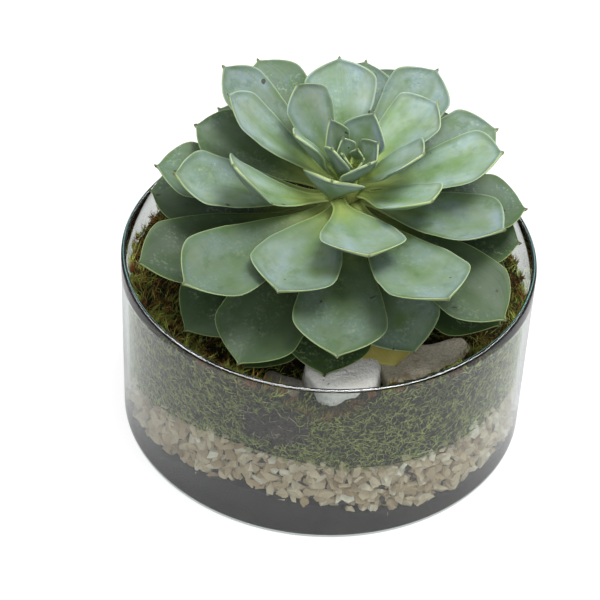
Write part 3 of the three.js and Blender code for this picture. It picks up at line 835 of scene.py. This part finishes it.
height = np.linspace(*STEM_HEIGHTS, 120)[:, None]
around = np.linspace(0, TAU, 48, endpoint=False)[None]
scars = np.abs(np.sin(np.pi * (height / SCAR_SPACING + 1.5 * around / TAU)))
radius = stem_radius(height) - 0.35 * (1 - scars) ** 2
forward = STEM_BULGE * (np.sin(around) - 1)
stem_parts = radius * np.cos(around) + lean_at(height), radius * np.sin(around) + forward, height
stem_rings = np.stack(np.broadcast_arrays(*stem_parts), -1)
bark, tree, shader, place = new_finish("stem")
grains = speckled(tree, place, srgb(74, 58, 38), srgb(134, 118, 78), 420.0)
fresh = spread(tree, node(tree, "ShaderNodeSeparateXYZ", [place]).outputs[2], 0.118, 0.135)
colour = blend(tree, fresh, grains["Color"], srgb(150, 162, 84))
set_finish(tree, shader, grains["Height"], 0.001, Base_Color=colour, Roughness=0.85)
piece("woody_stem", closed_skin(from_crown(stem_rings)), bark, ["stem"])

# Leaves: fleshy spoon-shaped blades with a waxy blue-grey bloom, each a narrow stalk that swells to round
# shoulders and ends in a small hooked point. They spiral out from the heart, the youngest upright.
GROWN_FORM = (0.8, 1.9)
YOUNG_FORM = (0.62, 1.3)
OLDEST_SLENDER = 9
STALK = 0.18
SWELL_START = 0.08
EDGE = 0.9
FLESH = 3.2
ROOT_FLESH = 0.8
CUP = 0.2
FULL_WIDTH = 36
LEAF_SPACING = 0.62
HOOK = 1.0
HALF_STEPS = 9
STATIONS = 46
OLDEST_IN_HEART = 12
leaf_random = np.random.default_rng(7)


def rise_and_fall(value, low, full, fading, high):
    """Smoothly up from 0 to 1 between low and full, and back to 0 between fading and high."""
    return smooth_step(value, low, full) * (1 - smooth_step(value, fading, high))


def blade_outline(share, form):
    """Half width as a share of the widest: a narrow stalk, a swell to the widest place, then shoulders,
    round on a grown leaf and slender on a young one, that hollow slightly before the point."""
    widest, bluntness = form
    swell = np.sin(np.pi / 2 * np.clip((share - SWELL_START) / (widest - SWELL_START), 0, 1)) ** 1.4
    shoulder = np.clip((share - widest) / (1 - widest), 0, 1)
    hollow = 0.04 * rise_and_fall(shoulder, 0.72, 0.93, 0.93, 1.0)
    rounded = 1 - shoulder ** bluntness - hollow
    return np.where(share < widest, STALK + (1 - STALK) * swell, rounded)


def flesh_of(width):
    """The thickness of a leaf's flesh, which narrow leaves have less of."""
    return FLESH * np.clip(width / FULL_WIDTH, 0.6, 1)


def blade(azimuth, pitch, length, width, bend, roll, form, unevenness):
    """Rings of one leaf that grows along +X from the origin. Its midrib is an arc about the pitch that
    turns by the bend. Across it, at v from -1 to 1, the upper face rises with v squared, the flesh below
    thins from the midrib to the edge, and both round off to meet there. The roll turns the blade about its
    midrib, soft waves lift its edges, and a hook carries on past the tip. Also gives each point's share of
    the length, its v and its distance in from the edge."""
    share = 1 - (1 - np.linspace(0, 1, STATIONS)) ** 1.5
    hook = np.linspace(0.25, 1, 4) * HOOK / length
    share = np.concatenate([share, 1 + hook])[:, None]
    on = np.clip(share, 0, 1)
    past = (share - on) * length / HOOK
    turning = np.radians(bend) if abs(bend) > 1e-3 else 1e-5
    start = np.radians(pitch) - turning / 2
    angle = start + turning * share
    outward = length * (np.sin(angle) - np.sin(start)) / turning
    upward = length * (np.cos(start) - np.cos(angle)) / turning
    midrib = np.stack([outward, 0 * share, upward], -1)
    half = np.maximum(blade_outline(on, form) * width / 2, 0.65 * (1 - past) + 0.06)
    flesh = flesh_of(width) * (ROOT_FLESH + 0.8 * on - 1.1 * on * on)
    flesh = np.maximum(flesh, EDGE) * (1 - 0.75 * past)
    edge = EDGE * (1 - 0.75 * past)
    v_top = np.sin(np.linspace(np.pi / 2, -np.pi / 2, 2 * HALF_STEPS + 1))[None]
    v = np.concatenate([v_top, -v_top[:, 1:-1]], 1)
    over = np.concatenate([np.ones_like(v_top), np.zeros_like(v_top[:, 1:-1])], 1)
    rounding = edge / 2 * v ** 24
    depth = np.where(over > 0, rounding, flesh + (edge - flesh) * v * v - rounding)
    phase = leaf_random.uniform(0, TAU, 4)
    lift = 0.55 * np.sin(7.5 * share + phase[0] + 1.2 * v) + 0.35 * np.sin(17 * share + phase[1] - 2 * v)
    trough = -0.45 * np.exp(-((v / 0.16) ** 2)) * over * rise_and_fall(on, 0.02, 0.2, 0.75, 1.0)
    wavy = unevenness * lift * v * v * smooth_step(on, 0.25, 0.6) * (1 - past)
    rise = CUP * half * v * v * np.clip(3 * on, 0, 1) + wavy + trough - depth
    notch = unevenness * 0.4 * np.sin(23 * share + phase[2]) * np.sin(11 * share + phase[3])
    notch = notch * rise_and_fall(on, 0.4, 0.6, 0.93, 1.0)
    across = v * (half - np.abs(v) ** 6 * notch)
    rolled = np.radians(roll) * np.clip(1.5 * on, 0, 1)
    normal = np.stack([-np.sin(angle), 0 * angle, np.cos(angle)], -1)
    along_y = np.array([0.0, 1.0, 0.0])
    side = np.cos(rolled)[..., None] * along_y + np.sin(rolled)[..., None] * normal
    up = -np.sin(rolled)[..., None] * along_y + np.cos(rolled)[..., None] * normal
    rings = midrib + side * across[..., None] + up * rise[..., None]
    slope = np.gradient(half[:, 0], share[:, 0] * length)[:, None]
    inset = (1 - np.abs(v)) * half / np.sqrt(1 + slope ** 2)
    return spun(rings, azimuth), share + 0 * v, v + 0 * share, inset


def leaf_root(azimuth, pitch, width, bend, foot, height, off):
    """Where a leaf is fixed: at its own foot, or on the stem's side, further out where it hangs."""
    if foot:
        return np.array([*foot, height])
    dip = max(0, -np.sin(np.radians(pitch - bend / 2))) * flesh_of(width) * ROOT_FLESH
    reach = stem_radius(height - flesh_of(width)) + off + dip
    spin = np.radians(azimuth)
    x = lean_at(height - flesh_of(width)) + reach * np.cos(spin)
    return np.array([x, reach * np.sin(spin) + STEM_BULGE * (np.sin(spin) - 1), height])


def leaf_skin(parts):
    """One mesh from several leaves: their closed skins side by side, with the numbers that the finish
    reads at each point."""
    points, faces, numbers = [], [], {}
    for rings, readings in parts:
        skin_points, skin_faces = closed_skin(rings)
        start = sum(len(p) for p in points)
        points.append(skin_points)
        faces += [[start + corner for corner in face] for face in skin_faces]
        for key, values in readings.items():
            values = np.broadcast_to(values, rings.shape[:2])
            ends = [values[0].mean(), values[-1].mean()]
            numbers.setdefault(key, []).append(np.concatenate([values.ravel(), ends]))
    return (np.concatenate(points), faces), {key: np.concatenate(values) for key, values in numbers.items()}


waxy, tree, shader, place = new_finish("leaf")
along, across, inset = (reading(tree, name) for name in ("along", "across", "inset"))
bloom, age, yellowing = (reading(tree, name) for name in ("bloom", "age", "yellowing"))
apart_by_age = times(tree, age, 37.0)


def on_blade(stretch_along, stretch_across):
    """Coordinates that follow the blade, stretched along and across it and different on each leaf."""
    parts = times(tree, along, stretch_along), times(tree, across, stretch_across)
    return node(tree, "ShaderNodeCombineXYZ", (*parts, apart_by_age)).outputs[0]


streaks = noise(tree, on_blade(0.9, 5.0), 2.2, 4.0, 0.6)
patches = noise(tree, on_blade(1.7, 0.7), 1.6, 3.0, 0.55)
clouds = noise(tree, place, 75.0, 3.0, 0.55)
aged = spread(tree, age, 0.25, 0.8)
green_body = blend(tree, aged, srgb(104, 132, 84), srgb(46, 66, 28))
grey_wax = blend(tree, aged, srgb(156, 170, 158), srgb(88, 106, 84))
blue_wax = blend(tree, aged, srgb(146, 166, 172), srgb(82, 102, 94))
wax = blend(tree, spread(tree, clouds, 0.35, 0.6), grey_wax, blue_wax)
rubbed = plus(tree, times(tree, patches, 0.65), times(tree, streaks, 0.08))
rubbed = plus(tree, rubbed, times(tree, clouds, 0.33))
waxed = spread(tree, plus(tree, rubbed, times(tree, along, 0.12)), 0.42, 0.72, 0.12, 1.0)
wax_share = times(tree, times(tree, bloom, waxed), spread(tree, along, 0.1, 0.6))
from_midrib = maths(tree, "ABSOLUTE", across)
wedge_edge = plus(tree, from_midrib, times(tree, clouds, 0.35))
wedge = times(tree, spread(tree, wedge_edge, 0.12, 0.62, 0.85, 0.0), spread(tree, along, 0.5, 0.95, 1.0, 0.1))
wax_share = times(tree, wax_share, maths(tree, "SUBTRACT", 1.0, wedge))
stalk_share = spread(tree, plus(tree, along, times(tree, patches, 0.16)), 0.1, 0.5, 0.9, 0.0)
speck_noise = noise(tree, place, 620.0, 2.0, 0.6)
speck_zone = times(tree, spread(tree, clouds, 0.46, 0.64), spread(tree, age, 0.15, 0.5, 0.25, 1.0))
specks = times(tree, spread(tree, speck_noise, 0.52, 0.66), times(tree, speck_zone, 0.4))
grain = spread(tree, noise(tree, place, 170.0, 4.0, 0.6), 0.3, 0.7, 0.91, 1.08)
dots = spread(tree, noise(tree, place, 760.0, 1.0), 0.7, 0.78, 0.0, 0.5)
dark_dots = times(tree, dots, spread(tree, clouds, 0.5, 0.6))
smears = noise(tree, place, 95.0, 5.0, 0.65)
smear_share = times(tree, spread(tree, smears, 0.56, 0.66, 0.0, 0.5), spread(tree, age, 0.2, 0.5, 0.35, 1.0))
# Painted light: the leaf bases are lightened toward pale yellow-green, as by light shining through their
# flesh where they lie in shade.
base_glow_share = spread(tree, along, 0.05, 0.28, 0.5, 0.0)
inside_line = times(tree, spread(tree, inset, 0.5, 1.1), spread(tree, inset, 1.1, 3.6, 0.45, 0.0))
edge_line = spread(tree, inset, 0.12, 0.42, 0.75, 0.0)
edge_colour = blend(tree, spread(tree, age, 0.15, 0.85), srgb(182, 198, 134), srgb(146, 164, 100))
yellow_blade = blend(tree, spread(tree, clouds, 0.3, 0.7), srgb(206, 200, 118), srgb(184, 168, 84))
tip_share = times(tree, spread(tree, along, 0.992, 1.006), spread(tree, age, 0.3, 0.7, 0.35, 0.9))
soil_specks = spread(tree, noise(tree, place, 240.0, 0.0), 0.83, 0.85, 0.0, 0.8)

# What lies over the green body and its wax, in this order: the stalk's pale green, pale specks, a fine grain,
# dark dots, rubbed smears, a painted glow that lightens the shaded base, the leaf's tone (partly its own
# colour, partly painted light and shade), a green line inside its pale edge, that edge, yellowing, the brown
# point and specks of soil.
LAYERS = [
    (stalk_share, srgb(150, 168, 84)),
    (specks, srgb(160, 172, 122)),
    (1.0, grain, "MULTIPLY"),
    (dark_dots, srgb(84, 100, 72)),
    (smear_share, srgb(70, 98, 50)),
    (base_glow_share, srgb(180, 192, 116)),
    # The leaf's tone: partly its own lighter or darker green, partly painted light and shade for how light
    # falls on it.
    (1.0, reading(tree, "tone"), "MULTIPLY"),
    (inside_line, srgb(66, 96, 44)),
    (edge_line, edge_colour),
    (yellowing, yellow_blade),
    (tip_share, srgb(84, 58, 36)),
    (soil_specks, srgb(44, 38, 28)),
]
colour = blend(tree, wax_share, green_body, wax)
for layer_share, layer_colour, *kind in LAYERS:
    colour = blend(tree, layer_share, colour, layer_colour, *kind)
relief = plus(tree, times(tree, streaks, 0.5), times(tree, speck_noise, 0.1))
dullness = spread(tree, wax_share, 0.0, 1.0, 0.38, 0.55)
set_finish(tree, shader, relief, 0.0004, Base_Color=colour, Roughness=dullness, Specular_IOR_Level=0.25)

# Each leaf by its age, counted out from the heart: age, azimuth (270 in front), pitch, length, width, bend of
# the midrib, roll and lift off the spiral, and what sets it apart: its foot where it isn't on the stem's
# side, its bloom (the share of wax) and its tone, which scales its colour: partly the leaf's own lighter or
# darker green and partly painted light and shade for how light falls on it.
LEAVES = [
    (1, 70, 84, 9, 7, 10, 0, 0, {}),
    (2, 215, 78, 15, 10, 10, 0, 0, {"foot": (3, -2)}),
    (3, 335, 72, 13, 9, 10, 0, 0, {"foot": (5.5, -2.5)}),
    (4, 130, 72, 17, 12, 10, 0, 0, {}),
    (5, 205, 78, 27, 18, 10, 20, 0, {"foot": (0, -5)}),
    (6, 25, 62, 20, 17, 10, 0, 0, {"foot": (7, 0)}),
    (7, 335, 66, 28, 22, 10, -30, 0.5, {"foot": (1.5, -8.5)}),
    (8, 137, 66, 30, 15, 10, 0, 0, {"tone": 0.8}),
    (9, 62, 60, 30, 24, 4, -8, 0, {"tone": 1.1}),
    (10, 262, 82, 18, 30, -10, -6, 0, {"foot": (-4, -14.5)}),
    (11, 356, 44, 40, 30, 4, -26, 0.3, {}),
    (12, 175, 53, 38, 24, 10, 42, 0.3, {"tone": 1.2}),
    (13, 290, 24, 50, 40, 27, -12, 5.4, {"foot": (-1.5, -17.6), "tone": 0.9}),
    (14, 41, 21, 49, 38, 12, -24, 0, {"tone": 1.2}),
    (15, 194, 40, 62, 29, 77, 19, 0, {"foot": (-6, -12), "tone": 1.1}),
    (16, 327, 36, 48, 32, 22, -19, 0.5, {"tone": 1.4}),
    (17, 132, 45, 47, 25, 15, 4, -0.2, {"tone": 0.9}),
    (18, 247, 14, 70, 41, 16, 2, 0.6, {"bloom": 0.8, "tone": 0.8}),
    (19, 4, 23, 69, 36, 17, -14, -0.3, {"tone": 1.3}),
    (20, 162, 37, 68, 23, 30, 8, 0, {"bloom": 0.95, "tone": 1.1}),
    (21, 302, 21, 88, 41, 34, -5, 0, {"bloom": 0.85}),
    (22, 98, 34, 53, 34, 14, -6, 0, {"bloom": 1, "tone": 1.5}),
    (23, 225, 15, 96, 38, 22, -4, 0, {"bloom": 0.5, "tone": 0.7}),
    (24, 338, 16, 74, 38, 10, -16, -0.6, {"bloom": 0.95}),
    (25, 144, 23, 75, 26, 23, 0, 0, {"bloom": 0.95}),
    (26, 270, 4, 83, 43, 11, -5, 0, {"bloom": 0.5, "tone": 0.75}),
    (27, 53, 22, 64, 33, 10, 0, 0.5, {"bloom": 1, "tone": 1.25}),
    (28, 188, 19, 77, 31, 27, 2, -0.3, {"bloom": 0.95, "tone": 1.2}),
    (29, 320, 1, 91, 40, -10, -8, -0.3, {"bloom": 0.3, "tone": 0.6}),
    (30, 84, 17, 58, 30, 0, 0, -0.3, {}),
    (31, 243, -6, 90, 43, -6, 5, 0, {"bloom": 0.25, "tone": 0.6}),
    (32, 25, 10, 71, 34, 0, 0, 0, {"bloom": 0.8, "tone": 1.3}),
    (33, 160, 10, 70, 32, 0, 0, 0, {"bloom": 0.45, "tone": 0.8}),
    (34, 295, -3, 77, 38, -8, 10, -0.5, {"bloom": 0.7, "tone": 1.2}),
    (35, 70, 12, 62, 32, 0, 0, 0, {}),
    (36, 206, 4, 95, 37, 24, 0, 0, {"bloom": 0.3, "tone": 0.6}),
    (37, 3, -5, 79, 41, 3, -15, 0.3, {"bloom": 0.5}),
    (38, 123, 8, 75, 32, 0, 0, 0, {"bloom": 0.8, "tone": 1.3}),
    (41, 176, 9, 81, 38, 17, 14, 0, {"bloom": 0.8, "tone": 1.4}),
    (42, 321, 0, 88, 42, 2, 10, 0.4, {"bloom": 0.2, "tone": 0.8}),
    (43, 88, 4, 66, 34, 0, 0, 0, {}),
    (44, 224, -6, 87, 38, 0, 0, 0, {"bloom": 0.6, "tone": 1.1}),
    (45, 355, -9, 78, 36, 0, 0, -0.2, {"bloom": 0.3}),
    (46, 140, -2, 72, 34, 0, 0, 0.5, {}),
    (47, 268, -5, 76, 40, 0, 0, 0, {"bloom": 0.2}),
    (48, 46, -2, 68, 34, 0, 0, 0, {}),
    (49, 176, -3, 82, 38, 0, 0, 0, {}),
    (50, 339, -14, 80, 36, 0, 0, -0.3, {"bloom": 0.3}),
    (51, 106, -4, 68, 34, 0, 0, 0, {}),
    (52, 243, -9, 80, 40, 0, 0, 0, {"bloom": 0.2}),
    (55, 292, -9, 70, 38, 0, 0, 0, {}),
]
OLDEST = 55
heart_parts = []
for leaf_age, azimuth, pitch, length, width, bend, roll, lift, apart in LEAVES:
    in_heart = leaf_age <= OLDEST_IN_HEART
    height = CROWN_HEIGHT - LEAF_SPACING * leaf_age + lift
    root = leaf_root(azimuth, pitch, width, bend, apart.get("foot"), height, -1.5 if in_heart else CLEARANCE)
    unevenness = 0.35 + 0.65 * leaf_age / OLDEST if leaf_age > OLDEST_IN_HEART else 0.15
    form = YOUNG_FORM if leaf_age <= OLDEST_SLENDER else GROWN_FORM
    rings, share, v, inset_mm = blade(azimuth, pitch, length, width, bend, roll, form, unevenness)
    readings = {
        "along": share,
        "across": v,
        "inset": inset_mm,
        "age": leaf_age / OLDEST,
        "bloom": apart.get("bloom", 1.0 - 0.4 * leaf_age / OLDEST),
        "tone": apart.get("tone", 1.0),
        "yellowing": 0.85 if leaf_age == OLDEST else 0.0,
    }
    part = from_crown(rings + root), readings
    if in_heart:
        heart_parts.append(part)
        continue
    skin, numbers = leaf_skin([part])
    slot = "yellowing_leaf" if leaf_age == OLDEST else "leaf"
    piece(f"blade_{leaf_age}", skin, waxy, [f"leaf_{leaf_age}"], numbers=numbers)

skin, numbers = leaf_skin(heart_parts)
piece("heart", skin, waxy, ["rosette_heart"], numbers=numbers)

low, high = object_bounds()
